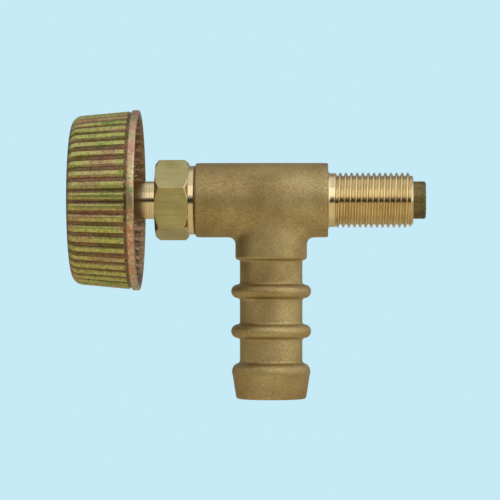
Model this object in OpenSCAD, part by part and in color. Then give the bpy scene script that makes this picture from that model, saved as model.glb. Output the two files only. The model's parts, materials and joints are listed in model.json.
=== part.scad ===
// Angle needle valve: male inlet thread, hose tail at a right angle, fluted handwheel.
// Millimetres, +Z up. The origin is on the spindle's axis in the plane of the inlet shoulder.
// The inlet points along +X, the handwheel along -X and the hose tail along -Z.

/* [Body] */
// Length of the barrel, from the inlet shoulder to its mouth
barrel_len = 31.6; // [26:0.1:40]
// Wall of the barrel outside the bonnet's thread
barrel_wall = 1.775; // [1.4:0.025:3]
// Rounding of the barrel's mouth edge
mouth_round = 0.55; // [0.2:0.05:0.7]
// Distance of the hose tail's axis from the inlet shoulder
branch_in = 13.55; // [11:0.05:17]
// How much smaller the branch is than the barrel, on the radius
branch_step = 0.2; // [0:0.05:1]
// Reach of the branch below the barrel's axis
branch_drop = 13.6; // [12:0.1:18]
// Height of the shoulder under the branch
shoulder_h = 0.9; // [0.4:0.1:2]
// Bore of the port between chamber and hose tail
port_d = 8.5; // [6:0.1:10.2]
// Land left in the chamber on each side of the port
port_land = 1.15; // [0.5:0.05:2]

/* [Inlet] */
// Outside diameter of the inlet thread (G 1/4)
inlet_d = 13.157; // [12:0.001:17]
// Depth of the inlet thread
inlet_depth = 0.856; // [0.6:0.001:1]
// Pitch of the inlet thread
inlet_pitch = 1.337; // [1:0.001:1.6]
// Reach of the inlet spigot beyond the shoulder
inlet_len = 20.2; // [17:0.1:25]
// Plain root between the shoulder and the first thread
inlet_root = 1.6; // [1:0.1:3]
// Bore of the inlet
inlet_bore = 8; // [6:0.1:9.6]
// Depth of the filter's pocket in the inlet
filter_in = 5.8; // [4.5:0.1:8]
// How far the filter's nose stands out of the inlet
nose_out = 3.1; // [2:0.1:5]
// Wall of the filter
filter_wall = 1.5; // [1:0.1:2.5]

/* [Hose tail] */
// Bore of the hose that the tail fits
hose_d = 16; // [14:0.1:19.2]
// Wall of the tail between its beads
tail_wall = 2.15; // [1.7:0.05:3]
// Distance from the barrel's axis to the tail's end
tail_reach = 47.3; // [42:0.1:57]
// Height of a bead over the tail's root
bead_h = 2.2; // [1.2:0.05:2.5]
// Width of a bead
bead_w = 3.3; // [2.6:0.1:4]
// Length of the tapered tip
tip_len = 8.5; // [7:0.1:10.2]

/* [Headwork] */
// Length of the hexagon
hex_len = 7.9; // [6.5:0.1:11]
// Turn of the hexagon about the spindle's axis, in degrees
hex_turn = 13; // [0:1:59]
// Height of the turned collar under the hexagon
collar_h = 1.5; // [1:0.1:2.5]
// Reach of the bonnet's thread into the barrel
bonnet_in = 7.1; // [5.9:0.1:8.5]
// Wall between the spindle's thread and the root of the bonnet's thread
bonnet_wall = 1.35; // [1:0.05:2]
// Pitch of the bonnet's thread
bonnet_pitch = 1; // [0.75:0.05:1.2]
// Thickness of the O-rings
oring_w = 1.2; // [1:0.05:1.45]
// Width of the packing, from shaft to wall
packing_w = 2.5; // [2:0.05:3]

/* [Spindle and needle] */
// Diameter of the stem
stem_d = 9; // [7.5:0.1:10.8]
// Diameter of the shaft in the packing
shaft_d = 7; // [5.8:0.1:8.4]
// Height of the spindle's thread over the stem
thread_step = 0.5; // [0.4:0.05:1]
// Rise of the spindle in one turn
lead = 1; // [0.75:0.05:1.25]
// Turns from closed to fully open
open_turns = 3; // [2:0.5:3.5]
// Bore of the seat
seat_bore = 4; // [3:0.1:4.8]
// Half angle of the needle's point, in degrees
point_angle = 15; // [12:1:20]
// Diameter of the needle's shank
shank_d = 4; // [3.4:0.1:4.4]

/* [Handwheel] */
// Diameter of the wheel over its rim
wheel_d = 43; // [36:0.5:52]
// Depth of the wheel from rim to front
wheel_depth = 16; // [13.1:0.1:19.2]
// Gap between the hexagon and the rim's plane with the valve closed
wheel_gap = 3.9; // [3:0.05:6]
// Thickness of the pressed sheet
sheet_t = 1.2; // [1:0.05:1.5]
// Number of flutes round the skirt
flutes = 48; // [36:1:60]
// Depth of a flute
flute_depth = 0.45; // [0.3:0.05:0.6]
// Taper of the skirt, in degrees
skirt_taper = 5.2; // [2:0.1:7]
// Width of the rim's lip
lip_w = 1.65; // [1:0.05:2.5]
// Width of the plain neck between the lip and the flutes
neck_w = 0.75; // [0.4:0.05:1.5]
// Outside radius of the bend at the front
bend_r = 2.6; // [2.2:0.1:4]
// Flat seat for the washers in the wheel's well
well_flat_d = 13; // [12.6:0.1:16]
// Size of the wheel's screw
screw_d = 4; // [3.5:0.5:5]

/* [Fits] */
// Radial play of running and threaded pieces
run_gap = 0.05; // [0.02:0.01:0.1]
// Play between pieces that only lie close
lie_gap = 0.3; // [0.2:0.05:0.5]
// Gap between needle and seat in the closed valve
seat_gap = 0.05; // [0.02:0.01:0.1]

/* [Hidden] */
$fn = 96;

brass = "#b8a468";
steel = "#a9adb0";
seal = "#2b2a29";
ptfe = "#e9e6dd";
zinc = "#b3a85c";
bronze = "#5c5739";

// Diameters that follow from one another, from the stem outwards
thread_d = stem_d + 2 * thread_step;
bonnet_depth = 0.6 * bonnet_pitch;
bonnet_bore_d = thread_d + 2 * run_gap;
bonnet_d = bonnet_bore_d + 2 * bonnet_wall + 2 * bonnet_depth;
barrel_bore_d = bonnet_d + 2 * run_gap;
barrel_d = barrel_bore_d + 2 * barrel_wall;
collar_d = bonnet_d + 2.4;
hex_af = collar_d + 0.6;
packing_d = shaft_d + 2 * packing_w;
chamber_ledge = 0.8;
chamber_d = packing_d - 2 * chamber_ledge;
branch_d = barrel_d - 2 * branch_step;
oring_neck_d = bonnet_d - 1.4;
oring_well_d = oring_neck_d + 2 * oring_w + 2 * run_gap;
oring_well_h = oring_w + 2 * run_gap;

// Hose tail
tail_root_d = hose_d - 1.2;
tail_bore_d = tail_root_d - 2 * tail_wall;
bead_d = tail_root_d + 2 * bead_h;
tip_top = tail_reach - tip_len;
tip_round = bead_h - 0.2;
tip_end_d = tail_root_d + 1.9;
bead_pitch = (tip_top - branch_drop) * 0.377;
bead_one = branch_drop + 8.1 * (tip_top - branch_drop) / 25.2;

// Stations along the spindle's axis, measured from the inlet shoulder towards the handwheel
seat_at = branch_in - port_d / 2 - port_land;
floor_at = branch_in + port_d / 2 + port_land + 0.1;
bonnet_end = barrel_len - bonnet_in;
collar_top = barrel_len + collar_h;
hex_top = collar_top + hex_len;
rim_at = hex_top + wheel_gap;
front_at = rim_at + wheel_depth;
lift = lead * open_turns;

// Screw, washers and the well that holds them
washer_t = 1;
spring_t = 0.9;
head_h = 0.7 * screw_d;
head_af = 1.75 * screw_d;
well_depth = washer_t + spring_t + head_h + 0.1;
web_out = front_at - well_depth;
web_in = web_out - sheet_t;

// Seat and needle
seat_ledge = 0.5;
seat_len = 4;
seat_d = inlet_bore + 2 * seat_ledge;
seat_mouth_d = seat_bore + 0.6;
point_slope = tan(point_angle);
point_offset = seat_gap / cos(point_angle);
needle_d = seat_mouth_d + 0.4;
needle_base = seat_at + ((needle_d - seat_mouth_d) / 2 + point_offset) / point_slope;
point_d = 1.6;
point_end = needle_base - (needle_d - point_d) / 2 / point_slope;
flange_d = needle_d + 0.8;
flange_h = 1;
shaft_end = seat_at + 5.2;
shank_end = shaft_end + 4.1;
ball_d = 2.4;
socket_end = shank_end + ball_d - 0.3 + run_gap;
clip_w = 0.6;
clip_at = shaft_end + 1.5;
clip_groove_w = clip_w + 0.2;
clip_groove_d = shank_d + 1.2;
shank_groove_d = shank_d - 0.5;

// Spindle's thread and the bonnet's neck above it
neck_h = 3.2;
oring_at = hex_top - neck_h / 2;
stem_groove_w = oring_w + 2 * run_gap;
stem_groove_d = stem_d + 2 * run_gap + 2 * oring_w;
thread_top = hex_top - neck_h - lift - lie_gap;
thread_low = bonnet_end + 0.8;

// Turns what is drawn as radius against station about the spindle's axis
module turned() rotate([0, -90, 0]) rotate_extrude() children();

// Puts what is drawn along +Z on the spindle's axis at a station, pointing at the handwheel
module at_station(s) translate([-s, 0, 0]) rotate([0, -90, 0]) children();

// A half section from radius r0 to r1 between two stations
module part_section(r0, r1, s0, s1) translate([r0, s0]) square([r1 - r0, s1 - s0]);

// The same with all four corners rounded by c
module soft_section(r0, r1, s0, s1, c) {
  part_section(r0 + c, r1 - c, s0, s1);
  part_section(r0, r1, s0 + c, s1 - c);
  for (r = [r0 + c, r1 - c], s = [s0 + c, s1 - c]) translate([r, s]) circle(c);
}

// Half section of a male thread drawn as rings, from station s0 to s1
module thread_section(d, depth, pitch, s0, s1) {
  turns = floor((s1 - s0) / pitch);
  land = pitch / 8;
  part_section(0, d / 2 - depth, s0, s1);
  for (i = [0 : turns - 1]) {
    s = s0 + (i + 0.5) * pitch;
    polygon([[d / 2 - depth - 0.01, s - pitch / 2 + land], [d / 2, s - land],
      [d / 2, s + land], [d / 2 - depth - 0.01, s + pitch / 2 - land]]);
  }
}

// Half section of an O-ring of thickness w that lies round a diameter d
module ring_section(d, w, s) translate([d / 2 + w / 2, s]) circle(w / 2);

module barrel_section() {
  part_section(0, barrel_d / 2, 0, barrel_len - mouth_round);
  part_section(0, barrel_d / 2 - mouth_round, 0, barrel_len);
  translate([barrel_d / 2 - mouth_round, barrel_len - mouth_round]) circle(mouth_round);
}

module inlet_section() {
  chamfer = inlet_depth * 0.8;
  root_r = inlet_d / 2 - 0.18;
  fillet = 0.7;
  first = -inlet_root;
  last = -inlet_len + chamfer;
  part_section(0, root_r, first - 0.1, 0.5);
  polygon([[0, 0.1], [root_r + fillet, 0.1], [root_r - 0.01, -fillet], [0, -fillet]]);
  thread_section(inlet_d, inlet_depth, inlet_pitch, last, first);
  polygon([[0, -inlet_len], [inlet_d / 2 - inlet_depth - 0.3, -inlet_len],
    [inlet_d / 2 - inlet_depth, last + 0.1], [0, last + 0.1]]);
}

// Half section of branch and hose tail about the tail's own axis; stations run down from the barrel
module tail_section() {
  polygon([[0, 0], [branch_d / 2, 0], [branch_d / 2, branch_drop],
    [tail_root_d / 2, branch_drop + shoulder_h], [0, branch_drop + shoulder_h]]);
  part_section(0, tail_root_d / 2, branch_drop, tip_top + 1.2 * tip_round);
  for (s = [bead_one, bead_one + bead_pitch])
    translate([bead_d / 2 - bead_w / 2, s]) circle(bead_w / 2);
  translate([tail_root_d / 2, tip_top + tip_round]) circle(tip_round);
  polygon([[0, tip_top + tip_round], [tail_root_d / 2 + tip_round, tip_top + tip_round],
    [tip_end_d / 2, tail_reach - 0.5], [tip_end_d / 2 - 0.5, tail_reach], [0, tail_reach]]);
}

module valve_body() {
  color(brass) difference() {
    union() {
      turned() barrel_section();
      turned() inlet_section();
      translate([-branch_in, 0, 0]) mirror([0, 0, 1]) rotate_extrude() tail_section();
    }
    // Inlet side: filter pocket, bore and seat pocket
    at_station(-inlet_len - 1) cylinder(d = seat_d, h = filter_in + 1);
    at_station(-inlet_len) cylinder(d = inlet_bore, h = inlet_len + seat_at);
    at_station(seat_at - seat_len) cylinder(d = seat_d, h = seat_len + 1);
    // Chamber, packing bore, bonnet thread and the O-ring's well in the mouth
    at_station(seat_at) cylinder(d = chamber_d, h = floor_at - seat_at + 1);
    at_station(floor_at) cylinder(d = packing_d, h = bonnet_end - floor_at + 1);
    at_station(bonnet_end - lie_gap) cylinder(d = barrel_bore_d, h = bonnet_in + 1);
    at_station(barrel_len - oring_well_h) cylinder(d = oring_well_d, h = oring_well_h + 1);
    // Outlet: port, drill cone and tail bore
    translate([-branch_in, 0, -branch_drop]) cylinder(d = port_d, h = branch_drop);
    translate([-branch_in, 0, -branch_drop - 0.01])
      cylinder(d1 = tail_bore_d, d2 = port_d, h = 0.6 * (tail_bore_d - port_d));
    translate([-branch_in, 0, -tail_reach - 1])
      cylinder(d = tail_bore_d, h = tail_reach + 1 - branch_drop);
  }
}

module inlet_filter() {
  tip = -inlet_len - nose_out;
  color(bronze) turned() difference() {
    soft_section(-2, seat_d / 2, tip, -inlet_len + filter_in, 0.45);
    part_section(-3, 0, tip - 1, inlet_len);
    part_section(-1, seat_d / 2 - filter_wall, tip + filter_wall, inlet_len);
  }
}

module seat_ring() {
  color(steel) turned() difference() {
    part_section(0, seat_d / 2, seat_at - seat_len, seat_at);
    part_section(-1, seat_bore / 2, seat_at - seat_len - 1, seat_at + 1);
    polygon([[0, seat_at], [seat_mouth_d / 2, seat_at],
      [seat_bore / 2, seat_at - (seat_mouth_d - seat_bore) / 2 / point_slope],
      [0, seat_at - (seat_mouth_d - seat_bore) / 2 / point_slope]]);
  }
}

module needle() {
  flange_top = shaft_end - lie_gap;
  flange_low = flange_top - flange_h;
  overlap = 0.05;
  color(steel) turned() {
    polygon([[0, point_end], [point_d / 2, point_end], [needle_d / 2, needle_base],
      [needle_d / 2, flange_low], [flange_d / 2, flange_low], [flange_d / 2, flange_top], [0, flange_top]]);
    difference() {
      part_section(0, shank_d / 2, flange_top - overlap, shank_end - lie_gap);
      part_section(shank_groove_d / 2, shank_d, clip_at - clip_groove_w / 2, clip_at + clip_groove_w / 2);
      translate([0, shank_end + ball_d / 2 - lie_gap]) circle(ball_d / 2 + 0.01);
    }
    intersection() {
      translate([0, point_end]) circle(point_d / 2);
      part_section(0, point_d, point_end - point_d, point_end + overlap);
    }
  }
}

module thrust_ball() {
  color(steel) at_station(socket_end - ball_d / 2 - run_gap) sphere(d = ball_d);
}

module needle_clip() {
  gap = 0.8;
  color(steel) difference() {
    turned() ring_section(shank_groove_d + 0.1, clip_w, clip_at);
    at_station(clip_at - clip_w) translate([0, -gap / 2, 0]) cube([shank_d, gap, 2 * clip_w]);
  }
}

module spindle() {
  hole_end = web_in - 9;
  square_w = stem_d / 1.5;
  square_end = web_out - 0.1;
  color(brass) difference() {
    union() {
      turned() {
        part_section(0, shaft_d / 2, shaft_end, thread_low + 0.01);
        part_section(0, thread_d / 2 - 0.4, thread_low, thread_top);
        part_section(0, thread_d / 2, thread_low + 0.4, thread_top - 0.4);
        part_section(0, stem_d / 2, thread_top - 0.4, web_in);
      }
      at_station(web_in - 1) translate([-square_w / 2, -square_w / 2, 0])
        cube([square_w, square_w, square_end - web_in + 1]);
    }
    at_station(shaft_end - 1) cylinder(d = shank_d + 2 * run_gap, h = socket_end - shaft_end + 1);
    at_station(clip_at - clip_groove_w / 2) cylinder(d = clip_groove_d, h = clip_groove_w);
    at_station(hole_end) cylinder(d = screw_d, h = front_at - hole_end);
  }
}

module bonnet() {
  chamfer = 1;
  corner_r = hex_af / sqrt(3);
  crown_r = hex_af / 2 + 0.15;
  color(brass) difference() {
    union() {
      intersection() {
        at_station(collar_top) rotate([0, 0, -hex_turn]) cylinder(r = corner_r, h = hex_len, $fn = 6);
        turned() polygon([[0, collar_top], [crown_r, collar_top], [corner_r + 0.1, collar_top + chamfer],
          [corner_r + 0.1, hex_top - chamfer], [crown_r, hex_top], [0, hex_top]]);
      }
      turned() {
        part_section(0, collar_d / 2, barrel_len, collar_top + 0.1);
        part_section(0, oring_neck_d / 2, barrel_len - oring_well_h - 0.1, barrel_len + 0.1);
        thread_section(bonnet_d, bonnet_depth, bonnet_pitch, bonnet_end, barrel_len - oring_well_h);
      }
    }
    at_station(bonnet_end - 1) cylinder(d = bonnet_bore_d, h = hex_top - neck_h - bonnet_end + 1);
    at_station(bonnet_end) cylinder(d = stem_d + 2 * run_gap, h = hex_top - bonnet_end + 1);
    at_station(oring_at - stem_groove_w / 2) cylinder(d = stem_groove_d, h = stem_groove_w);
  }
}

module bonnet_oring() {
  color(seal) turned() ring_section(oring_neck_d, oring_w, barrel_len - oring_well_h / 2);
}

module stem_oring() {
  color(seal) turned() ring_section(stem_d + 2 * run_gap, oring_w, oring_at);
}

// Packing: four rings and a washer share the room between the chamber's floor and the bonnet
pack_room = bonnet_end - floor_at;
washer_share = 0.17 * pack_room;
ring_share = (pack_room - washer_share) / 5;
rise = 0.55 * ring_share;
pack_in = shaft_d / 2 + run_gap;
pack_out = packing_d / 2;
pack_mid = (pack_in + pack_out) / 2;

// One chevron ring from station s0 to s1: each face is flat or rises to a ridge at mid width
module chevron(s0, s1, low_rise, top_rise)
  polygon([[pack_in, s0], [pack_mid, s0 + low_rise], [pack_out, s0],
    [pack_out, s1], [pack_mid, s1 + top_rise], [pack_in, s1]]);

module packing_floor_ring() {
  color(ptfe) turned() chevron(floor_at, floor_at + ring_share - 0.02, 0, rise);
}

module packing_rings() {
  color(ptfe) turned() for (i = [1 : 3])
    chevron(floor_at + i * ring_share, floor_at + (i + 1) * ring_share - 0.02, rise, rise);
}

module packing_top_ring() {
  color(ptfe) turned() chevron(floor_at + 4 * ring_share, floor_at + 5 * ring_share, rise, 0);
}

module gland_washer() {
  color(brass) turned() part_section(pack_in, pack_out, bonnet_end - washer_share, bonnet_end);
}

// Pressed cup: rim lip, tapered skirt, front bend, front ring, well wall and web
lip_step = 0.25;
skirt_top_r = wheel_d / 2 - lip_step;
lip_end = rim_at + lip_w;
bend_at = front_at - bend_r;
tangent_s = bend_at + bend_r * sin(skirt_taper);
tangent_r = skirt_top_r - (tangent_s - lip_end) * tan(skirt_taper);
bend_centre_r = tangent_r - bend_r * cos(skirt_taper);
well_bend = 0.8;
well_r = well_flat_d / 2 + well_bend;
web_hole_d = stem_d / 1.5;

// Points along a bend of the sheet
function bend(r, s, radius, from, to, steps) = [for (i = [0 : steps])
  let (a = from + (to - from) * i / steps) [r + radius * cos(a), s + radius * sin(a)]];

module cup_section() {
  inner_r = sheet_t / cos(skirt_taper);
  neck_r = skirt_top_r - flute_depth;
  neck_end = lip_end + neck_w;
  back_r = bend_r - sheet_t;
  well_back = well_bend + sheet_t;
  out_r = well_r + sheet_t + well_bend;
  out_s = front_at - sheet_t - well_bend;
  in_r = well_r - well_bend;
  in_s = web_out + well_bend;
  soft_section(wheel_d / 2 - sheet_t - lip_step, wheel_d / 2, rim_at, lip_end, 0.3);
  polygon(concat(
    [[neck_r, lip_end - 0.3], [neck_r, neck_end], [skirt_top_r - neck_w * tan(skirt_taper), neck_end]],
    bend(bend_centre_r, bend_at, bend_r, skirt_taper, 90, 5),
    bend(out_r, out_s, well_back, 90, 180, 4),
    bend(in_r, in_s, well_bend, 0, -90, 4),
    [[0, web_out], [0, web_in]],
    bend(in_r, in_s, well_back, -90, 0, 4),
    bend(out_r, out_s, well_bend, 180, 90, 4),
    bend(bend_centre_r, bend_at, back_r, 90, skirt_taper, 5),
    [[skirt_top_r - inner_r, lip_end], [skirt_top_r - inner_r, lip_end - 0.3]]));
}

module handwheel() {
  cutter_r = 1;
  reach = cutter_r - flute_depth;
  color(zinc) difference() {
    turned() cup_section();
    at_station(0) for (i = [0 : flutes - 1]) rotate([0, 0, i * 360 / flutes])
      translate([skirt_top_r + reach, 0, lip_end]) rotate([0, -skirt_taper, 0])
        cylinder(r = cutter_r, h = wheel_depth);
    at_station(web_in - 1) translate([-web_hole_d / 2, -web_hole_d / 2, 0])
      cube([web_hole_d, web_hole_d, sheet_t + 2]);
  }
}

module wheel_washer() {
  color(steel) turned() part_section(screw_d / 2 + 0.15, well_flat_d / 2 - 0.4, web_out, web_out + washer_t);
}

module wheel_spring_washer() {
  low = web_out + washer_t;
  color(steel) difference() {
    turned() part_section(screw_d / 2 + 0.1, 0.95 * screw_d, low, low + spring_t);
    at_station(low - 1) translate([0, -0.3, 0]) rotate([12, 0, 0]) cube([2 * screw_d, 0.6, spring_t + 3]);
  }
}

module wheel_screw() {
  low = web_out + washer_t + spring_t;
  corner_r = head_af / sqrt(3);
  shank_low = web_in - 7;
  color(steel) {
    at_station(shank_low) cylinder(d = screw_d - 2 * run_gap, h = low - shank_low + 0.1);
    intersection() {
      at_station(low) rotate([0, 0, 20]) cylinder(r = corner_r, h = head_h, $fn = 6);
      turned() polygon([[0, low], [corner_r + 0.1, low], [corner_r + 0.1, low + head_h - 0.5],
        [head_af / 2, low + head_h], [0, low + head_h]]);
    }
  }
}

valve_body();
inlet_filter();
seat_ring();
needle();
thrust_ball();
needle_clip();
spindle();
bonnet();
bonnet_oring();
packing_floor_ring();
packing_rings();
packing_top_ring();
gland_washer();
stem_oring();
handwheel();
wheel_washer();
wheel_spring_washer();
wheel_screw();
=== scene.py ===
"""An angle needle valve with a hose tail and a fluted cup handwheel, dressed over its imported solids."""
import json
import math

import bmesh
import bpy
import numpy as np
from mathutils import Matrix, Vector


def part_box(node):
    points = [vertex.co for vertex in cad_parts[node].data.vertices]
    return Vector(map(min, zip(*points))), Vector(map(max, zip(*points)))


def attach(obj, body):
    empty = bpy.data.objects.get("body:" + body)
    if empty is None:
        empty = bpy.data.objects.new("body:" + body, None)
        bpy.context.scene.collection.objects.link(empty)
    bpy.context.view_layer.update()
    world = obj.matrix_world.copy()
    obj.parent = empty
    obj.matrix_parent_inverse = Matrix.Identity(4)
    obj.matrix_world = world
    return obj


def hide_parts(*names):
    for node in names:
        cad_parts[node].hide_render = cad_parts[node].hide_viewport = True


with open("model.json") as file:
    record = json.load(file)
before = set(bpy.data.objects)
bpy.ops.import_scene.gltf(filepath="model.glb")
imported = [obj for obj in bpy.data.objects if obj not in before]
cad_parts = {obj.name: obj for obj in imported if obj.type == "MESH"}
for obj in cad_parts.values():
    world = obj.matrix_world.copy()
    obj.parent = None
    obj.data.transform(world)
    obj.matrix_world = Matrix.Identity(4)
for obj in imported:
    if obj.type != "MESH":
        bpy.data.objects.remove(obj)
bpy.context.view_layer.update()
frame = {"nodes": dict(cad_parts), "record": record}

# --------------------------------------------------------------------------------------------------------
# The body's skin: a hot-forged brass tee, shot-blasted to a fine dull grain. Its hose tail has two round
# beads and a swelling tip, and the branch runs into the barrel in a soft saddle. A faint parting line
# runs round the forging.
# --------------------------------------------------------------------------------------------------------
MM = 0.001


def box_of(node):
    """A CAD node's lowest and highest corners, in millimetres."""
    return [np.array(corner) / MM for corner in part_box(node)]


body_low, body_high = box_of("valve_body")
mounts = {mount["name"]: mount for mount in frame["record"]["mounts"]}
tail_x = mounts["outlet_bore"]["pos_m"][0] / MM
tail_bore_r = mounts["outlet_bore"]["dims"]["r_mm"]
tail_end = body_low[2]
mouth_x = body_low[0]
barrel_r = body_high[2]
neck_r = barrel_r - 0.35
neck_end = -14.2
root_r = 7.4
beads = (-21.7, -31.2)
bead_r = root_r + 2.08
bead_round = 1.58
tip_top = tail_end + 8.5
tip_round = 1.86
saddle = 1.9
parting_depth = 0.05
parting_w = 0.45
skin_cell = 0.3


def smooth_min(a, b, k):
    """The lesser of two distances, run together softly over k millimetres."""
    h = np.clip(0.5 + 0.5 * (b - a) / k, 0, 1)
    return b + (a - b) * h - k * h * (1 - h)


def round_bar(r, s, r_low, r_high, s_low, s_high, edge):
    """Distance to a round bar, r_low at station s_low and r_high at s_high, with its edges rounded."""
    slope = (r_high - r_low) / (s_high - s_low)
    side = (r - (r_low + slope * (s - s_low))) / math.hypot(1, slope) + edge
    ends = np.abs(s - (s_low + s_high) / 2) - (s_high - s_low) / 2 + edge
    outside = np.hypot(np.maximum(side, 0), np.maximum(ends, 0))
    return outside + np.minimum(np.maximum(side, ends), 0) - edge


def forging(p):
    """Signed distance in millimetres from points p to the skin of the forged tee."""
    x, y, z = p[..., 0], p[..., 1], p[..., 2]
    across = np.hypot(y, z)
    barrel = np.maximum(round_bar(across, x, barrel_r, barrel_r, mouth_x - 5, 0, 0.2),
                        round_bar(across, x, barrel_r, barrel_r, mouth_x, 5, 0.6))
    r = np.hypot(x - tail_x, y)
    neck = round_bar(r, z, neck_r, neck_r, neck_end, 4, 0.75)
    root = round_bar(r, z, root_r, root_r, tip_top - 2.5, -6, 0.2)
    tip = round_bar(r, z, root_r + 0.88, root_r + 1.88, tail_end, tip_top - 1.8, 0.5)
    tip = smooth_min(tip, np.hypot(r - root_r, z - (tip_top - tip_round)) - tip_round, 0.3)
    tail = smooth_min(neck, root, 0.5)
    for bead in beads:
        tail = smooth_min(tail, np.hypot(r - (bead_r - bead_round), z - bead) - bead_round, 0.75)
    tail = smooth_min(tail, tip, 0.7)
    reached = (x < -1) * (x > mouth_x + 1) * np.clip((z - tail_end - 0.3) / 2, 0, 1)
    parting = parting_depth * np.exp(-(y / parting_w) ** 2) * reached
    return smooth_min(barrel, tail, saddle) - parting


def net_of(field, low, high, step):
    """Points and four-sided faces of the surface where field is zero, on a grid of cubes of side step."""
    axes = [np.arange(a, b + step, step) for a, b in zip(low, high)]
    grid = field(np.stack(np.meshgrid(*axes, indexing="ij"), -1))
    n = grid.shape
    corners = [(i, j, k) for i in (0, 1) for j in (0, 1) for k in (0, 1)]
    value = {c: grid[tuple(slice(c[i], n[i] - 1 + c[i]) for i in range(3))] for c in corners}
    inside = sum((v < 0).astype(int) for v in value.values())
    mixed = (inside > 0) & (inside < 8)
    # A cube that the surface passes through holds one point, the mean of the crossings of its edges.
    total, count = np.zeros(mixed.shape + (3,)), np.zeros(mixed.shape)
    for a in corners:
        for axis in range(3):
            if a[axis]:
                continue
            b = tuple(c + (i == axis) for i, c in enumerate(a))
            va, vb = value[a], value[b]
            cut = (va < 0) != (vb < 0)
            t = np.where(cut, va / np.where(cut, va - vb, 1), 0)
            crossing = np.array(a) + t[..., None] * (np.array(b) - np.array(a))
            total += np.where(cut[..., None], crossing, 0)
            count += cut
    origin = np.array([stations[0] for stations in axes])
    points = origin + (np.argwhere(mixed) + total[mixed] / count[mixed][:, None]) * step
    number = np.full(mixed.shape, -1)
    number[mixed] = np.arange(len(points))
    # An edge that the surface crosses gives one face, round the four cubes that share it.
    faces = []
    for axis in range(3):
        others = [c for c in range(3) if c != axis]
        lower, upper = [slice(1, m - 1) for m in n], [slice(1, m - 1) for m in n]
        lower[axis], upper[axis] = slice(0, n[axis] - 1), slice(1, n[axis])
        cells = np.argwhere((grid[tuple(lower)] < 0) != (grid[tuple(upper)] < 0))
        cells[:, others] += 1
        ring = []
        for back in ((1, 1), (0, 1), (0, 0), (1, 0)):
            q = cells.copy()
            q[:, others] -= back
            ring.append(number[q[:, 0], q[:, 1], q[:, 2]])
        faces.append(np.stack(ring, 1))
    return points, np.concatenate(faces)


def settle(field, points, rounds=4, reach=0.01):
    """Points drawn on to the surface where field is zero, by its slope measured over reach each way."""
    for _ in range(rounds):
        value = field(points)
        rises = [field(points + step) - field(points - step) for step in np.eye(3) * reach]
        slope = np.stack([rise / (2 * reach) for rise in rises], -1)
        points = points - slope * (value / np.maximum((slope ** 2).sum(-1), 1e-6))[:, None]
    return points


def solid(name, points, faces, *materials):
    """A mesh object at the origin from points in millimetres, its doubles merged, its faces outwards."""
    mesh = bpy.data.meshes.new(name)
    places = (np.asarray(points, float) * MM).tolist()
    mesh.from_pydata(places, [], [[int(i) for i in face] for face in faces])
    bm = bmesh.new()
    bm.from_mesh(mesh)
    bmesh.ops.remove_doubles(bm, verts=bm.verts, dist=1e-6)
    bmesh.ops.dissolve_degenerate(bm, edges=bm.edges, dist=1e-7)
    bmesh.ops.recalc_face_normals(bm, faces=bm.faces)
    bm.to_mesh(mesh)
    bm.free()
    obj = bpy.data.objects.new(name, mesh)
    bpy.context.scene.collection.objects.link(obj)
    for material in materials:
        mesh.materials.append(material)
    return obj


def soften(obj, angle):
    """Smooth shading, with every edge sharper than angle kept crisp."""
    bm = bmesh.new()
    bm.from_mesh(obj.data)
    for face in bm.faces:
        face.smooth = True
    for edge in bm.edges:
        edge.smooth = len(edge.link_faces) != 2 or edge.calc_face_angle(0) < math.radians(angle)
    bm.to_mesh(obj.data)
    bm.free()


def swept(section, angles, radius=None):
    """Points and faces of a closed section of (radius, station) carried round the spindle's axis."""
    section = np.array(section, float)
    m, n = len(section), len(angles)
    points = []
    for a in angles:
        r = section[:, 0] if radius is None else radius(section, a)
        points.append(np.stack([-section[:, 1], -r * math.sin(a), r * math.cos(a)], 1))
    off_axis = section[:, 0] > 1e-6
    faces = [(i * m + k, (i + 1) % n * m + k, (i + 1) % n * m + (k + 1) % m, i * m + (k + 1) % m)
             for i in range(n) for k in range(m) if off_axis[k] or off_axis[(k + 1) % m]]
    return np.concatenate(points), faces


turn_steps = 144


def turned(name, section, *materials, steps=turn_steps, tail=False):
    """A solid turned on the lathe: about the spindle's axis, or about the hose tail's when tail is true."""
    points, faces = swept(section, np.linspace(0, 2 * math.pi, steps, endpoint=False))
    if tail:
        points = np.stack([points[:, 2] + tail_x, points[:, 1], points[:, 0]], 1)
    return solid(name, points, faces, *materials)


def plain_mesh(obj):
    """A new mesh of obj as its modifiers leave it."""
    return bpy.data.meshes.new_from_object(obj.evaluated_get(bpy.context.evaluated_depsgraph_get()))


def carve(target, tool, operation):
    """One closed solid cut from or joined to another; the tool is used up."""
    modifier = target.modifiers.new("carve", "BOOLEAN")
    modifier.operation = operation
    modifier.solver = "MANIFOLD"
    modifier.object = tool
    target.data = plain_mesh(target)
    target.modifiers.clear()
    bpy.data.objects.remove(tool)


def add(tree, kind, inputs=None, **settings):
    """A node of that kind; each input is given a constant or is joined to another node's socket."""
    node = tree.nodes.new(kind)
    for name, value in settings.items():
        setattr(node, name, value)
    for name, value in (inputs or {}).items():
        if isinstance(value, bpy.types.NodeSocket):
            tree.links.new(value, node.inputs[name])
        else:
            node.inputs[name].default_value = value
    return node


def maths(tree, operation, *values):
    """The result of one sum on numbers or sockets."""
    return add(tree, "ShaderNodeMath", dict(enumerate(values)), operation=operation).outputs[0]


def spread(tree, value, low, high, to_low, to_high, curve="LINEAR"):
    """A value taken from one range to another."""
    ends = {"From Min": low, "From Max": high, "To Min": to_low, "To Max": to_high}
    node = add(tree, "ShaderNodeMapRange", {"Value": value, **ends}, interpolation_type=curve)
    return node.outputs["Result"]


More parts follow.
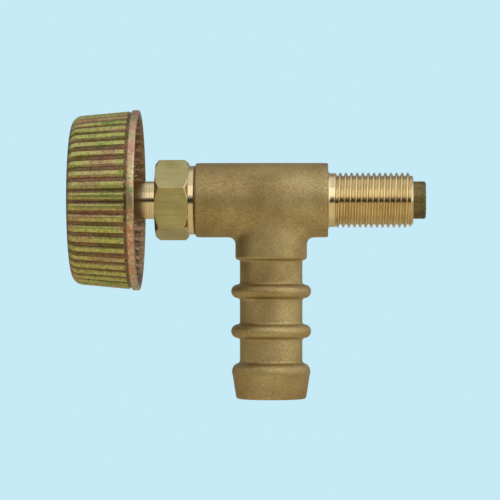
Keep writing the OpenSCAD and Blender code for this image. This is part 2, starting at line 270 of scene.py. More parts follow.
def tint(tree, value, *stops):
    """A colour ramp over a value, from stops of (position, red, green, blue)."""
    ramp = add(tree, "ShaderNodeValToRGB", {"Fac": value})
    while len(ramp.color_ramp.elements) < len(stops):
        ramp.color_ramp.elements.new(0.5)
    for element, stop in zip(ramp.color_ramp.elements, stops):
        element.position, element.color = stop[0], (*stop[1:], 1)
    return ramp.outputs["Color"]


def blend(tree, factor, a, b, how="MIX"):
    """Two colours mixed, or multiplied, by a factor."""
    node = add(tree, "ShaderNodeMix", {"Factor": factor}, data_type="RGBA", blend_type=how)
    for socket, value in ((node.inputs[6], a), (node.inputs[7], b)):
        if isinstance(value, bpy.types.NodeSocket):
            tree.links.new(value, socket)
        else:
            socket.default_value = (*value, 1)
    return node.outputs[2]


def toned(tree, colour, amount):
    """A colour made darker or lighter by an amount."""
    grey = add(tree, "ShaderNodeCombineXYZ", {0: amount, 1: amount, 2: amount}).outputs[0]
    return blend(tree, 1.0, colour, grey, "MULTIPLY")


def noise(tree, place, scale, detail, **shape):
    """A noise texture's value over a place; shape may set its roughness and distortion."""
    inputs = {"Vector": place, "Scale": scale, "Detail": detail, **shape}
    return add(tree, "ShaderNodeTexNoise", inputs).outputs["Fac"]


def effect(name, inputs, outputs):
    """An empty shader group with those float inputs and outputs, and a vector input for the place."""
    tree = bpy.data.node_groups.new(name, "ShaderNodeTree")
    tree.interface.new_socket("Place", in_out="INPUT", socket_type="NodeSocketVector")
    for label, value in inputs.items():
        socket = tree.interface.new_socket(label, in_out="INPUT", socket_type="NodeSocketFloat")
        socket.default_value = value
    for label in outputs:
        tree.interface.new_socket(label, in_out="OUTPUT", socket_type="NodeSocketFloat")
    return tree, tree.nodes.new("NodeGroupInput").outputs, tree.nodes.new("NodeGroupOutput").inputs


# Grain: a fine speckle over slow blotches, for every cast, forged, drawn or moulded surface.
grain_scales = {"Grain": 2600.0, "Blotch": 180.0, "Mottle": 45.0}
grain_effect, given, result = effect("surface_grain", grain_scales, ("Speckle", "Blotch", "Height"))
fine = noise(grain_effect, given["Place"], given["Grain"], 2.5, Roughness=0.6)
middle = noise(grain_effect, given["Place"], given["Blotch"], 3, Roughness=0.55)
slow = noise(grain_effect, given["Place"], given["Mottle"], 2)
patches = maths(grain_effect, "MULTIPLY_ADD", slow, 0.6, maths(grain_effect, "MULTIPLY", middle, 0.4))
relief = maths(grain_effect, "MULTIPLY_ADD", middle, 0.5, fine)
for value, label in ((fine, "Speckle"), (patches, "Blotch"), (relief, "Height")):
    grain_effect.links.new(value, result[label])


def finish_of(name, metallic, **constants):
    """A new material: its node tree, its Principled shader and its object coordinates."""
    material = bpy.data.materials.new(name)
    material.use_nodes = True
    tree = material.node_tree
    tree.nodes.clear()
    shader = add(tree, "ShaderNodeBsdfPrincipled", {"Metallic": metallic})
    for label, value in constants.items():
        shader.inputs[label.replace("_", " ")].default_value = value
    tree.links.new(shader.outputs["BSDF"], add(tree, "ShaderNodeOutputMaterial").inputs["Surface"])
    return material, tree, shader, add(tree, "ShaderNodeTexCoord").outputs["Object"]


def use(tree, group, place, **values):
    """The outputs of an effect placed in a material with its own values."""
    node = tree.nodes.new("ShaderNodeGroup")
    node.node_tree = group
    tree.links.new(place, node.inputs["Place"])
    for label, value in values.items():
        node.inputs[label].default_value = value
    return node.outputs


def finish_with(tree, shader, colour, rough, height, strength, depth):
    """The shader's colour, roughness and bump joined to their sources."""
    tree.links.new(colour, shader.inputs["Base Color"])
    tree.links.new(rough, shader.inputs["Roughness"])
    bump = add(tree, "ShaderNodeBump", {"Height": height, "Strength": strength, "Distance": depth})
    tree.links.new(bump.outputs["Normal"], shader.inputs["Normal"])


forged_brass, tree, shader, place = finish_of("forged_brass", 1.0)
grain = use(tree, grain_effect, place, Grain=2300.0, Blotch=150.0, Mottle=50.0)
base = tint(tree, grain["Blotch"],
            (0.38, 0.32, 0.23, 0.096), (0.50, 0.395, 0.30, 0.136), (0.62, 0.47, 0.37, 0.18))
colour = toned(tree, base, spread(tree, grain["Speckle"], 0.36, 0.68, 0.88, 1.15))
rough = spread(tree, grain["Speckle"], 0.3, 0.7, 0.64, 0.44)
finish_with(tree, shader, colour, rough, grain["Height"], 0.28, 0.00006)

skin_low = (mouth_x - 1, -bead_r - 1, tail_end - 1)
skin_high = (1.2, bead_r + 1, barrel_r + 1)
points, faces = net_of(forging, skin_low, skin_high, skin_cell)
valve_body = solid("valve_body_forging", settle(forging, points), faces, forged_brass)

# --------------------------------------------------------------------------------------------------------
# The body's turned parts: inlet spigot with its right-hand G 1/4 thread, shoulder, bores, seat pocket,
# stuffing box and mouth, all cut bright on the lathe after forging, with the tool's fine lines round them.
# --------------------------------------------------------------------------------------------------------
lathe_effect, given, result = effect("lathe_lines", {"Lines": 5000.0}, ("Marks",))
split = add(lathe_effect, "ShaderNodeSeparateXYZ", {0: given["Place"]}).outputs
squares = [maths(lathe_effect, "POWER", split[axis], 2.0) for axis in ("Y", "Z")]
out = maths(lathe_effect, "SQRT", maths(lathe_effect, "ADD", *squares))
along = maths(lathe_effect, "MULTIPLY_ADD", out, 1.7, split["X"])
line_number = maths(lathe_effect, "MULTIPLY", along, given["Lines"])
cut_lines = add(lathe_effect, "ShaderNodeTexNoise", {"W": line_number, "Scale": 1.0, "Detail": 2},
                noise_dimensions="1D")
lathe_effect.links.new(cut_lines.outputs["Fac"], result["Marks"])


def lathe_finish(name, dark, light, rough, lines=5000.0, bite=0.12):
    """A turned metal: two tones run through the tool's lines, with slow stains."""
    material, tree, shader, place = finish_of(name, 1.0)
    marks = use(tree, lathe_effect, place, Lines=lines)["Marks"]
    grain = use(tree, grain_effect, place, Grain=3000.0, Blotch=400.0, Mottle=120.0)
    both = maths(tree, "MULTIPLY_ADD", marks, 0.5, maths(tree, "MULTIPLY", grain["Blotch"], 0.5))
    tones = tint(tree, both, (0.38, *dark), (0.6, *light))
    gloss = spread(tree, both, 0.35, 0.65, rough * 1.25, rough * 0.85)
    finish_with(tree, shader, tones, gloss, marks, bite, 0.00002)
    return material


turned_brass = lathe_finish("turned_brass", (0.54, 0.42, 0.215), (0.74, 0.62, 0.38), 0.15)
thread_r = mounts["inlet_thread"]["dims"]["r_mm"]
pitch = 1.337
thread_depth = 0.856
rows_a_turn = 16
thread_land = 0.04
first_turn = 1.6
run_in = 0.7
lead_in = 0.15
lead_slope = 1.1
spigot_len = 20.2
spigot_root = thread_r - 0.18
shoulder_rise = ((first_turn, 0), (0.7, 0), (0.43, 0.05), (0.2, 0.2), (0.05, 0.43), (0, 0.68), (-1.5, 0.68))


def spigot():
    """The spigot as one closed skin: rows of points follow the helix and end in plain circles."""
    rows = int((spigot_len - first_turn) / pitch * rows_a_turn) + 2 * rows_a_turn
    points = []
    for j in range(rows + 1):
        level = abs(j % rows_a_turn / rows_a_turn - 0.5) * 2
        flank = min(max((level - thread_land) / (1 - 2 * thread_land), 0), 1)
        height = 0.5 - 0.5 * math.cos(math.pi * flank)
        for i in range(turn_steps + 1):
            turns = j / rows_a_turn + i / turn_steps
            s = np.clip(first_turn - pitch + turns * pitch, first_turn, spigot_len)
            r = thread_r - thread_depth * (1 - height)
            r = min(r, thread_r - thread_depth - lead_in + lead_slope * (spigot_len - s))
            start = min((s - first_turn) / run_in, 1)
            points.append((s, r * start + spigot_root * (1 - start), 2 * math.pi * i / turn_steps))
    for s, rise in shoulder_rise:
        points += [(s, spigot_root + rise, 2 * math.pi * i / turn_steps) for i in range(turn_steps + 1)]
    w = turn_steps + 1
    faces = [(j * w + i, j * w + i + 1, (j + 1) * w + i + 1, (j + 1) * w + i)
             for j in range(rows + len(shoulder_rise)) if j != rows for i in range(turn_steps)]
    points = [(s, r * math.sin(a), r * math.cos(a)) for s, r, a in points]
    obj = solid("spigot", points, faces, forged_brass, turned_brass)
    bm = bmesh.new()
    bm.from_mesh(obj.data)
    bmesh.ops.holes_fill(bm, edges=[edge for edge in bm.edges if len(edge.link_faces) == 1], sides=0)
    bmesh.ops.recalc_face_normals(bm, faces=bm.faces)
    for face in bm.faces:
        face.material_index = 1
    bm.to_mesh(obj.data)
    bm.free()
    return obj


def cutter(section, tail=False):
    """A turned solid that leaves bright turned brass where it cuts the forging."""
    obj = turned("cutter", section, forged_brass, turned_brass, tail=tail)
    for face in obj.data.polygons:
        face.material_index = 1
    return obj


strainer_bore_r = 4.5
inlet_way_r = 4
seat_pocket_r = 4.5
chamber_r = 5.2
stuffing_box_r = 6
bonnet_bore_r = 7.05
mouth_r = 7.55
port_r = 4.25
axial_bores = [
    (0, -21), (4.9, -21), (strainer_bore_r, -20), (strainer_bore_r, -14.4),
    (inlet_way_r, -14.4), (inlet_way_r, 4.15), (seat_pocket_r, 4.15), (seat_pocket_r, 8.15),
    (chamber_r, 8.15), (chamber_r, 19.05), (stuffing_box_r, 19.05), (stuffing_box_r, 24.2),
    (bonnet_bore_r, 24.2), (bonnet_bore_r, 30.3), (mouth_r, 30.3), (mouth_r, 31.3),
    (7.75, 31.65), (7.75, 33), (0, 33)]
tail_bores = [
    (0, 0), (port_r, 0), (port_r, 12.4), (tail_bore_r, 13.6), (tail_bore_r, -tail_end - 0.4),
    (tail_bore_r + 0.4, -tail_end + 0.01), (tail_bore_r + 0.4, 1 - tail_end), (0, 1 - tail_end)]

valve_body.data.materials.append(turned_brass)
carve(valve_body, spigot(), "UNION")
carve(valve_body, cutter(axial_bores), "DIFFERENCE")
carve(valve_body, cutter(tail_bores, tail=True), "DIFFERENCE")
soften(valve_body, 42)
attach(valve_body, "valve")
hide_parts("valve_body")

# --------------------------------------------------------------------------------------------------------
# The inlet strainer: a thimble of bronze grains sintered together, pressed into the spigot's pocket, its
# nose out.
# --------------------------------------------------------------------------------------------------------


def grained_finish(name, metallic, scales, tones, rough, strength, depth, **constants):
    """A moulded or sintered finish: tones by the blotches, gloss by the speckle, bump by the grain."""
    material, tree, shader, place = finish_of(name, metallic, **constants)
    grain = use(tree, grain_effect, place, **dict(zip(("Grain", "Blotch", "Mottle"), scales)))
    gloss = spread(tree, grain["Speckle"], 0.3, 0.7, *rough)
    finish_with(tree, shader, tint(tree, grain["Blotch"], *tones), gloss, grain["Height"], strength, depth)
    return material


bronze_tones = ((0.36, 0.075, 0.058, 0.022), (0.5, 0.15, 0.12, 0.045), (0.64, 0.25, 0.2, 0.085))
sintered_bronze = grained_finish("sintered_bronze", 0.85, (3600.0, 500.0, 160.0), bronze_tones,
                                 (0.3, 0.6), 0.5, 0.00005)
sinter_r = 0.00016
filter_r = 4.42
filter_bore_r = 3
filter_end = -14.5
nose = 0.12 - box_of("inlet_filter")[1][0]
nose_round = ((0.5, 0), (0.22, 0.07), (0.07, 0.22), (0, 0.5))
strainer_section = [(0, nose)] + [(filter_r - inset, nose + back) for inset, back in nose_round]
strainer_section += [(filter_r, filter_end), (filter_bore_r, filter_end)]
strainer_section += [(filter_bore_r, nose + 1.5), (0, nose + 1.5)]
skin = turned("strainer_skin", strainer_section, sintered_bronze, steps=96)


def nodes_tree(name, **inputs):
    """An empty Geometry Nodes tree with a geometry in and out and those named inputs."""
    tree = bpy.data.node_groups.new(name, "GeometryNodeTree")
    tree.interface.new_socket("Geometry", in_out="INPUT", socket_type="NodeSocketGeometry")
    for label, (kind, value) in inputs.items():
        socket = tree.interface.new_socket(label, in_out="INPUT", socket_type="NodeSocket" + kind)
        if value is not None:
            socket.default_value = value
    tree.interface.new_socket("Geometry", in_out="OUTPUT", socket_type="NodeSocketGeometry")
    return tree, tree.nodes.new("NodeGroupInput").outputs


def scaled(tree, vector, factor):
    """A vector times a factor."""
    return add(tree, "ShaderNodeVectorMath", {0: vector, "Scale": factor}, operation="SCALE").outputs[0]


def close_tree(tree, geometry, material):
    """Realize Instances and Set Material, then the group's output."""
    real = add(tree, "GeometryNodeRealizeInstances", {"Geometry": geometry}).outputs[0]
    done = add(tree, "GeometryNodeSetMaterial", {"Geometry": real, "Material": material}).outputs[0]
    add(tree, "NodeGroupOutput", {"Geometry": done})


def made_by(obj, tree, name, **values):
    """The plain mesh that a Geometry Nodes tree makes of obj, with its inputs set; obj is used up."""
    modifier = obj.modifiers.new(tree.name, "NODES")
    modifier.node_group = tree
    for item in tree.interface.items_tree:
        if item.item_type == "SOCKET" and item.in_out == "INPUT" and item.name in values:
            modifier[item.identifier] = values[item.name]
    mesh = plain_mesh(obj)
    mesh.name = name
    made = bpy.data.objects.new(name, mesh)
    bpy.context.scene.collection.objects.link(made)
    bpy.data.objects.remove(obj)
    return made


tree, given = nodes_tree("sinter_grains", Grain_Radius=("Float", sinter_r), Density=("Float", 8e6),
                         Seed=("Int", 3), Material=("Material", None))
spacing = maths(tree, "MULTIPLY", given["Grain_Radius"], 1.35)
scatter = {"Mesh": given["Geometry"], "Distance Min": spacing, "Density Max": given["Density"]}
spots = add(tree, "GeometryNodeDistributePointsOnFaces", {**scatter, "Seed": given["Seed"]},
            distribute_method="POISSON").outputs
ball = add(tree, "GeometryNodeMeshIcoSphere", {"Radius": given["Grain_Radius"], "Subdivisions": 1})
turn = add(tree, "FunctionNodeRandomValue", {0: (0, 0, 0), 1: (6.3, 6.3, 6.3), "Seed": given["Seed"]},
           data_type="FLOAT_VECTOR").outputs[0]
size = add(tree, "FunctionNodeRandomValue", {2: 0.75, 3: 1.15, "Seed": 11}, data_type="FLOAT").outputs[1]
sink = scaled(tree, spots["Normal"], maths(tree, "MULTIPLY", given["Grain_Radius"], -0.45))
sunk = add(tree, "GeometryNodeSetPosition", {"Geometry": spots["Points"], "Offset": sink}).outputs[0]
layout = {"Points": sunk, "Instance": ball.outputs["Mesh"], "Rotation": turn, "Scale": size}
balls = add(tree, "GeometryNodeInstanceOnPoints", layout).outputs[0]
soft = add(tree, "GeometryNodeSetShadeSmooth", {"Geometry": balls}).outputs[0]
joined = add(tree, "GeometryNodeJoinGeometry")
for part in (given["Geometry"], soft):
    tree.links.new(part, joined.inputs[0])
close_tree(tree, joined.outputs[0], given["Material"])
strainer = made_by(skin, tree, "inlet_strainer", Grain_Radius=sinter_r, Material=sintered_bronze)
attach(strainer, "valve")
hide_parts("inlet_filter")

# --------------------------------------------------------------------------------------------------------
# Seat and needle: a hard steel seat pressed in behind the inlet, and a needle that swivels on a ball in
# the spindle's end, held by a spring clip. All are turned steel.
# --------------------------------------------------------------------------------------------------------


def dress(material, *nodes):
    """CAD nodes whose shape is right, given their material."""
    for name in nodes:
        slots = frame["nodes"][name].data.materials
        slots.clear()
        slots.append(material)


steel = lathe_finish("steel", (0.42, 0.42, 0.42), (0.62, 0.61, 0.6), 0.24, 7000.0)
dress(steel, "seat_ring", "needle", "thrust_ball", "needle_clip")

# --------------------------------------------------------------------------------------------------------
# Packing: moulded PTFE chevron rings under a brass gland washer, which the bonnet presses down, and two
# nitrile O-rings, one in the body's mouth and one round the stem.
# --------------------------------------------------------------------------------------------------------
ptfe_tones = ((0.4, 0.74, 0.73, 0.68), (0.6, 0.84, 0.83, 0.79))
ptfe = grained_finish("ptfe", 0.0, (4000.0, 700.0, 150.0), ptfe_tones, (0.35, 0.55), 0.2, 0.00002,
                      Subsurface_Weight=0.1, Subsurface_Radius=(0.001, 0.001, 0.001))
rubber_tones = ((0.4, 0.012, 0.012, 0.013), (0.6, 0.03, 0.03, 0.031))
rubber = grained_finish("rubber", 0.0, (5000.0, 600.0, 200.0), rubber_tones, (0.45, 0.7), 0.25, 0.00002)
dress(ptfe, "packing_floor_ring", "packing_rings", "packing_top_ring")
dress(turned_brass, "gland_washer")
dress(rubber, "bonnet_oring", "stem_oring")

# --------------------------------------------------------------------------------------------------------
# The spindle: a brass bar turned to a smooth stem, with its lifting thread below and a filed square on its
# outer end for the handwheel. A blind hole takes the wheel's screw.
# --------------------------------------------------------------------------------------------------------
spindle_low, spindle_high = box_of("spindle")
inner_end = -spindle_high[0]
square_end = -spindle_low[0]
web_in = square_end - 1.1
stem_r = 4.5
lifting_r = 5
shank_r = 3.5
socket_r = 2.05
clip_groove_r = 2.6
half_square = 3.0
screw_hole_r = 2
spindle_section = [
    (0, 19.6), (socket_r, 19.6), (socket_r, 15.25), (clip_groove_r, 15.25), (clip_groove_r, 14.45),
    (socket_r, 14.45), (socket_r, inner_end), (shank_r - 0.3, inner_end), (shank_r, inner_end + 0.3),
    (shank_r, 25.3), (lifting_r - 0.4, 25.3), (lifting_r, 25.7), (lifting_r, 34.1), (lifting_r - 0.4, 34.5),
    (stem_r, 34.6), (stem_r, web_in - 0.25), (stem_r - 0.25, web_in), (0, web_in)]
screw_hole_section = [
    (0, web_in - 9), (screw_hole_r, web_in - 9), (screw_hole_r, square_end + 0.5), (0, square_end + 0.5)]


def square_bar(name, start, end, material):
    """A bar of the spindle's square, between two stations along its axis."""
    corners = ((-half_square, -half_square), (half_square, -half_square),
               (half_square, half_square), (-half_square, half_square))
    points = [(-s, y, z) for s in (start, end) for y, z in corners]
    faces = [(0, 1, 2, 3), (4, 5, 6, 7), (0, 1, 5, 4), (1, 2, 6, 5), (2, 3, 7, 6), (3, 0, 4, 7)]
    return solid(name, points, faces, material)


spindle = turned("spindle_bar", spindle_section, turned_brass)
carve(spindle, square_bar("square", web_in - 1, square_end, turned_brass), "UNION")
carve(spindle, turned("hole", screw_hole_section, turned_brass, steps=48), "DIFFERENCE")
soften(spindle, 30)
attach(spindle, "spindle")
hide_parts("spindle")

# --------------------------------------------------------------------------------------------------------
# The bonnet: drawn 17 mm hexagon brass bar, turned at both ends to chamfers and a collar, and screwed into
# the mouth. The flats keep the die's lengthwise streaks.
# --------------------------------------------------------------------------------------------------------
drawn_brass, tree, shader, place = finish_of("drawn_brass", 1.0)
grain = use(tree, grain_effect, place, Grain=1800.0, Blotch=220.0, Mottle=90.0)
pulled = add(tree, "ShaderNodeMapping", {"Vector": place, "Scale": (0.06, 1.0, 1.0)}).outputs[0]
streaks = noise(tree, pulled, 1500.0, 2)
both = maths(tree, "MULTIPLY_ADD", streaks, 0.3, maths(tree, "MULTIPLY", grain["Blotch"], 0.7))
tones = tint(tree, both, (0.36, 0.33, 0.275, 0.11), (0.5, 0.41, 0.355, 0.155), (0.64, 0.49, 0.43, 0.21))
finish_with(tree, shader, tones, spread(tree, both, 0.35, 0.65, 0.44, 0.34), streaks, 0.12, 0.00002)

bonnet_low, bonnet_high = box_of("bonnet")
hex_top = -bonnet_low[0]
bonnet_end = -bonnet_high[0]
mouth = -mouth_x
collar_top = mouth + 1.5
flat_r = 8.5
corner_r = flat_r / math.cos(math.pi / 6)
turned_r = corner_r + 0.1
crown_r = 8.65
collar_r = 8.2
chamfer = 1.0
corner_worn = 0.04
hex_turn = math.radians(13)
screwed_r = 7
neck_in_r = 6.3
lifting_bore_r = 5.05
stem_hole_r = 4.55
oring_groove_r = 5.75
chamfer_steps = (0.15, 0.3, 0.45, 0.6, 0.8, 1)


def chamfered(face, towards, steps):
    """Points of the hexagon's chamfer, from the crown's edge on a face down to the corners."""
    return [(crown_r + (turned_r - crown_r) * t, face + towards * chamfer * t) for t in steps]


bonnet_section = [(4.85, hex_top), (crown_r - 0.1, hex_top), (crown_r + 0.05, hex_top - 0.03)]
bonnet_section += chamfered(hex_top, -1, chamfer_steps)
flat_stations = np.linspace(hex_top - chamfer - 0.6, collar_top + chamfer + 0.6, 5)
bonnet_section += [(turned_r, s) for s in flat_stations]
bonnet_section += chamfered(collar_top, 1, chamfer_steps[::-1])
bonnet_section += [
    (crown_r + 0.05, collar_top + 0.03), (crown_r - 0.1, collar_top), (collar_r + 0.1, collar_top),
    (collar_r, collar_top - 0.08), (collar_r, mouth + 0.25), (collar_r - 0.2, mouth), (neck_in_r, mouth),
    (neck_in_r, mouth - 1.3), (6.7, mouth - 1.35), (screwed_r, mouth - 1.8), (screwed_r, bonnet_end + 0.4),
    (6.6, bonnet_end), (lifting_bore_r, bonnet_end), (lifting_bore_r, hex_top - 3.2),
    (stem_hole_r, hex_top - 3.2), (stem_hole_r, hex_top - 2.3), (oring_groove_r, hex_top - 2.3),
    (oring_groove_r, hex_top - 0.9), (stem_hole_r, hex_top - 0.9), (stem_hole_r, hex_top - 0.3)]


def hexagon(section, a):
    """Radius of the bonnet at angle a: the turned section, where the hexagon's flats do not cut it off."""
    from_flat = (a - hex_turn) % (math.pi / 3) - math.pi / 6
    flat = flat_r / math.cos(from_flat)
    flat = min(flat, corner_r - corner_worn - 0.5 * max(0, abs(from_flat) - math.pi / 6 + 0.03) ** 2)
    return np.where(section[:, 0] > flat_r, np.minimum(section[:, 0], flat), section[:, 0])


# Angles over one side of the hexagon, close together at its corners.
side_angles = np.radians([0, 0.4, 0.8, 1.3, 2, 3, 4.5, 7, 10, 14, 18.5, 24,
                          30, 36, 41.5, 46, 50, 53, 55.5, 57, 58, 58.7, 59.2, 59.6])
bonnet_angles = np.concatenate([hex_turn + k * math.pi / 3 + side_angles for k in range(6)])
points, faces = swept(bonnet_section, bonnet_angles, hexagon)
bonnet = solid("bonnet_bar", points, faces, drawn_brass, turned_brass)
for face in bonnet.data.polygons:
    s, r = -face.center[0] / MM, math.hypot(face.center[1], face.center[2]) / MM
    on_flat = collar_top < s < hex_top and r > flat_r - 0.2 and abs(face.normal[0]) <= 0.12
    face.material_index = 0 if on_flat else 1
soften(bonnet, 20)
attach(bonnet, "valve")
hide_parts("bonnet")

# --------------------------------------------------------------------------------------------------------
# The handwheel: a cup pressed from steel sheet, its skirt fluted through and its edge a plain lip, sunk in
# front to a well for the screw. Yellow zinc passivation gives it a patchy green, gold and rose sheen.
# --------------------------------------------------------------------------------------------------------
yellow_zinc, tree, shader, place = finish_of("yellow_zinc", 1.0)
grain = use(tree, grain_effect, place, Grain=1500.0, Blotch=260.0, Mottle=95.0)
crest, within, on_lip = (add(tree, "ShaderNodeAttribute", attribute_name=name).outputs["Fac"]
                         for name in ("crest", "inner", "lip"))
pulled = add(tree, "ShaderNodeMapping", {"Vector": place, "Scale": (0.3, 1.0, 1.0)}).outputs[0]
film = noise(tree, pulled, 210.0, 5, Roughness=0.68, Distortion=0.5)
ridge_tone = tint(tree, film, (0.3, 0.17, 0.23, 0.05), (0.42, 0.40, 0.42, 0.12),
                  (0.52, 0.45, 0.40, 0.15), (0.62, 0.40, 0.25, 0.14), (0.72, 0.19, 0.24, 0.07))
# Painted shade: the grooves take the film's colours darkened for the hollows between the ridges, mixed in
# by the crest attribute.
groove_shade_tone = tint(tree, film, (0.3, 0.07, 0.10, 0.02), (0.42, 0.14, 0.10, 0.035),
                   (0.52, 0.19, 0.12, 0.07), (0.62, 0.22, 0.10, 0.06), (0.72, 0.10, 0.11, 0.03))
inner_tone = tint(tree, film, (0.3, 0.27, 0.22, 0.11), (0.45, 0.28, 0.19, 0.11),
                  (0.6, 0.33, 0.21, 0.15), (0.72, 0.24, 0.22, 0.10))
# Painted highlight: the plain lip takes the film's colours set lighter than the flutes', as light caught on
# the proud band.
lip_highlight_tone = tint(tree, film, (0.3, 0.20, 0.32, 0.11), (0.42, 0.48, 0.41, 0.22),
                (0.5, 0.56, 0.37, 0.25), (0.6, 0.56, 0.28, 0.19), (0.7, 0.27, 0.33, 0.10))
outer_tone = blend(tree, on_lip, blend(tree, crest, groove_shade_tone, ridge_tone), lip_highlight_tone)
dirt = spread(tree, grain["Speckle"], 0.34, 0.6, 0.68, 1.14)
colour = toned(tree, blend(tree, within, outer_tone, inner_tone), dirt)
rough = spread(tree, grain["Speckle"], 0.3, 0.7, 0.46, 0.26)
finish_with(tree, shader, colour, rough, grain["Height"], 0.4, 0.00005)

wheel_low, wheel_high = box_of("handwheel")
rim = -wheel_high[0]
front = -wheel_low[0]
wheel_r = wheel_high[2]
sheet = 1.2
flutes = 48
steps_a_flute = 12
flute_depth = 0.45
lip_end = rim + 1.65
lip_round = 0.3
neck_w = 0.75
neck_cut = 0.32
flutes_start = lip_end + neck_w
skirt_r = wheel_r - 0.25
taper = math.radians(5.2)
bend_r = 2.6
tangent_s = front - bend_r + bend_r * math.sin(taper)
well_r = 7.3
web_out = web_in + 1.2
web_hole_r = 2.5
small_bend = 0.8
hub_out = well_r + sheet + small_bend
inner_depth = 0.8


def tapered(start_r, s):
    """The radius at station s of a wall that leaves the lip at start_r and draws in towards the front."""
    return start_r - (s - lip_end) * math.tan(taper)


def arc(r, s, radius, start, end, steps):
    """Points of an arc about (r, s), from one angle to another in degrees."""
    turns = np.linspace(math.radians(start), math.radians(end), steps + 1)
    return [(r + radius * math.cos(a), s + radius * math.sin(a)) for a in turns]


bend_in_r = tapered(skirt_r, tangent_s) - bend_r * math.cos(taper)
taper_deg = math.degrees(taper)
inner_start_r = skirt_r - sheet / math.cos(taper)
skirt_stations = [flutes_start + 0.06, flutes_start + 0.25, *np.linspace(flutes_start + 0.8, tangent_s, 10)]
outside = arc(wheel_r - lip_round, rim + lip_round, lip_round, -90, 0, 3)
outside += arc(wheel_r - lip_round, lip_end - lip_round, lip_round, 0, 90, 3)
outside += [(skirt_r - neck_cut - 0.02, lip_end + 0.02), (skirt_r - neck_cut, lip_end + 0.15)]
outside += [(skirt_r - neck_cut, flutes_start - 0.12)]
outside += [(tapered(skirt_r, s), s) for s in skirt_stations]
outside += arc(bend_in_r, front - bend_r, bend_r, taper_deg, 90, 12)[1:]
outside += arc(hub_out, front - sheet - small_bend, small_bend + sheet, 90, 180, 7)
outside += arc(well_r - small_bend, web_out + small_bend, small_bend, 0, -90, 5)
outside += [(web_hole_r, web_out), (0, web_out)]
inside = [(0, web_out - sheet), (web_hole_r, web_out - sheet)]
inside += arc(well_r - small_bend, web_out + small_bend, small_bend + sheet, -90, 0, 7)
inside += arc(hub_out, front - sheet - small_bend, small_bend, 180, 90, 5)
inside += arc(bend_in_r, front - bend_r, bend_r - sheet, 90, taper_deg, 8)
inside += [(tapered(inner_start_r, s), s) for s in np.linspace(tangent_s, flutes_start, 11)[1:]]
inside += [(wheel_r - sheet - 0.25, lip_end - 0.2)]
inside += arc(wheel_r - sheet - 0.1, rim + 0.15, 0.15, 180, 270, 2)
cup_angles = np.linspace(0, 2 * math.pi, flutes * steps_a_flute, endpoint=False)
cup = solid("cup", *swept(outside + inside, cup_angles), yellow_zinc)

# Where the flutes are pressed, and where the tones change inside and on the lip (the lip's lighter tone a
# painted highlight), kept on the cup's points.
press, inner, lip = (cup.data.attributes.new(name, "FLOAT", "POINT") for name in ("press", "inner", "lip"))
for vertex in cup.data.vertices:
    s, r = -vertex.co[0] / MM, math.hypot(vertex.co[1], vertex.co[2]) / MM
    is_inner = tapered(skirt_r, s) - r > inner_depth and s < front - 0.9 and r > 3
    in_neck = max(0.0, (s - lip_end) / neck_w) if is_inner else 0.0
    start = 1.0 if s > flutes_start else in_neck
    fade = np.clip((r - bend_in_r - 0.4) / (bend_r - 0.9), 0, 1) if s > front - bend_r else 1.0
    press.data[vertex.index].value = start * fade * (r > bend_in_r - 0.3)
    inner.data[vertex.index].value = float(is_inner)
    lip.data[vertex.index].value = float(s < lip_end + 0.05 and not is_inner)

tree, given = nodes_tree("press_flutes", Flutes=("Float", 48.0), Depth=("Float", 0.00045),
                         Steepness=("Float", 2.0), Material=("Material", None))
position = add(tree, "GeometryNodeInputPosition").outputs[0]
place = add(tree, "ShaderNodeSeparateXYZ", {0: position}).outputs
angle = maths(tree, "ARCTAN2", place["Y"], place["Z"])
wave = maths(tree, "SINE", maths(tree, "MULTIPLY", angle, given["Flutes"]))
steep = maths(tree, "MULTIPLY_ADD", wave, given["Steepness"], 0.35)
squared = spread(tree, steep, -1.0, 1.0, 0.0, 1.0, "SMOOTHSTEP")
pressed = add(tree, "GeometryNodeInputNamedAttribute", {"Name": "press"}, data_type="FLOAT").outputs[0]
sunken = maths(tree, "MULTIPLY", maths(tree, "SUBTRACT", squared, 1.0), pressed)
outwards = add(tree, "ShaderNodeCombineXYZ", {"Y": place["Y"], "Z": place["Z"]}).outputs[0]
radial = add(tree, "ShaderNodeVectorMath", {0: outwards}, operation="NORMALIZE").outputs[0]
offset = scaled(tree, radial, maths(tree, "MULTIPLY", sunken, given["Depth"]))
# The crest attribute steers the finish's painted shade, which is darker in the grooves between the ridges.
ridges = maths(tree, "MULTIPLY", squared, pressed)
crest_row = {"Geometry": given["Geometry"], "Name": "crest", "Value": ridges}
kept = add(tree, "GeometryNodeStoreNamedAttribute", crest_row, data_type="FLOAT", domain="POINT").outputs[0]
fluted = add(tree, "GeometryNodeSetPosition", {"Geometry": kept, "Offset": offset}).outputs[0]
close_tree(tree, fluted, given["Material"])
handwheel = made_by(cup, tree, "handwheel_cup", Flutes=float(flutes), Depth=flute_depth * MM,
                    Steepness=2.0, Material=yellow_zinc)
carve(handwheel, square_bar("hole", web_in - 1, web_out + 1, yellow_zinc), "DIFFERENCE")
soften(handwheel, 50)
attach(handwheel, "spindle")
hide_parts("handwheel")

# --------------------------------------------------------------------------------------------------------
# The wheel's fastening: a hexagon screw, a split spring washer and a plain washer in the wheel's well, all
# steel with a bright zinc plating.
# --------------------------------------------------------------------------------------------------------
plated_steel = lathe_finish("plated_steel", (0.46, 0.48, 0.50), (0.66, 0.67, 0.68), 0.26, 4000.0, 0.2)
dress(plated_steel, "wheel_washer", "wheel_spring_washer", "wheel_screw")

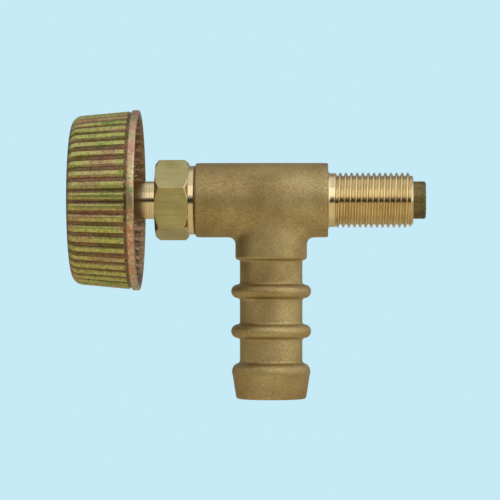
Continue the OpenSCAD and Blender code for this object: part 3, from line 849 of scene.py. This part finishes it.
# --------------------------------------------------------------------------------------------------------
# The room: a pale blue paper floor in a light tent, bright above, warmer low down, dim behind and dark in
# front at the valve's height. The floor glows beneath and before the valve, and a soft box stands high in
# front, on the inlet's side.
# --------------------------------------------------------------------------------------------------------
PAPER = (0.565, 0.823, 0.922)
FLOOR_GLOW = (0.62, 0.56, 0.42)
floor_z = -160
floor_half = 4000
bpy.context.scene.view_settings.view_transform = "Standard"
paper = bpy.data.materials.new("pale_paper")
paper.use_nodes = True
tree = paper.node_tree
tree.nodes.clear()
seen = add(tree, "ShaderNodeLightPath").outputs["Is Camera Ray"]
spot = add(tree, "ShaderNodeTexCoord").outputs["Object"]
ground = add(tree, "ShaderNodeSeparateXYZ", {0: spot}).outputs["Y"]
near = spread(tree, ground, -0.95, -0.6, 0.03, 1.35, "SMOOTHSTEP")
lit = maths(tree, "MULTIPLY", near, spread(tree, ground, -0.12, 0.25, 1.0, 0.58))
glow = {"Color": blend(tree, seen, FLOOR_GLOW, PAPER), "Strength": spread(tree, seen, 0.0, 1.0, lit, 1.0)}
shine = add(tree, "ShaderNodeEmission", glow).outputs[0]
tree.links.new(shine, add(tree, "ShaderNodeOutputMaterial").inputs["Surface"])
floor_corners = [(-floor_half, -floor_half, floor_z), (floor_half, -floor_half, floor_z),
                 (floor_half, floor_half, floor_z), (-floor_half, floor_half, floor_z)]
floor = solid("paper_floor", floor_corners, [(0, 1, 2, 3)], paper)

room = bpy.data.worlds.new("light_tent")
room.use_nodes = True
bpy.context.scene.world = room
tree = room.node_tree
tree.nodes.clear()
way = add(tree, "ShaderNodeSeparateXYZ", {0: add(tree, "ShaderNodeTexCoord").outputs["Generated"]}).outputs
upper = spread(tree, way["Z"], 0.19, 0.27, 0.0, 0.88, "SMOOTHSTEP")
side_level = spread(tree, way["X"], -0.6, 0.6, 0.5, 1.15)
sides = maths(tree, "MULTIPLY", spread(tree, way["Y"], -0.93, -0.75, 0.0, 1.0, "SMOOTHSTEP"), side_level)
front_light = maths(tree, "MAXIMUM", upper, sides)
behind = spread(tree, way["Y"], 0.2, 0.75, 1.0, 0.34, "SMOOTHSTEP")
level = maths(tree, "MULTIPLY_ADD", front_light, behind, 0.03)
warmth = blend(tree, spread(tree, way["Z"], -0.35, 0.15, 0.0, 1.0), (1.0, 0.92, 0.68), (1.0, 1.0, 1.0))
tent = add(tree, "ShaderNodeBackground", {"Color": warmth, "Strength": level}).outputs[0]
flat = add(tree, "ShaderNodeBackground", {"Color": (*PAPER, 1), "Strength": 1.0}).outputs[0]
seen = add(tree, "ShaderNodeLightPath").outputs["Is Camera Ray"]
mixed = add(tree, "ShaderNodeMixShader", {0: seen, 1: tent, 2: flat}).outputs[0]
tree.links.new(mixed, add(tree, "ShaderNodeOutputWorld").inputs["Surface"])

key = bpy.data.lights.new("key_box", "AREA")
key.shape = "RECTANGLE"
key.size, key.size_y = 1.2, 0.8
key.energy = 1.6
key.color = (1, 0.98, 0.94)
key_box = bpy.data.objects.new("key_box", key)
bpy.context.scene.collection.objects.link(key_box)
key_box.location = (0.35, -0.7, 0.45)
key_aim = Vector((-0.02, 0, 0))
key_box.rotation_euler = (key_aim - Vector(key_box.location)).to_track_quat("-Z", "Y").to_euler()

# The camera stands level with the valve, far off, and a little round towards the inlet.
camera = bpy.data.objects.new("camera", bpy.data.cameras.new("camera"))
bpy.context.scene.collection.objects.link(camera)
bpy.context.scene.camera = camera
camera.data.sensor_width = 36
camera.data.lens = 216
away = 0.715
round_by = math.radians(1.9)
target = Vector((-0.0186, 0, -0.01187))
camera.location = target + away * Vector((math.sin(round_by), -math.cos(round_by), 0))
camera.rotation_euler = (target - camera.location).to_track_quat("-Z", "Y").to_euler()
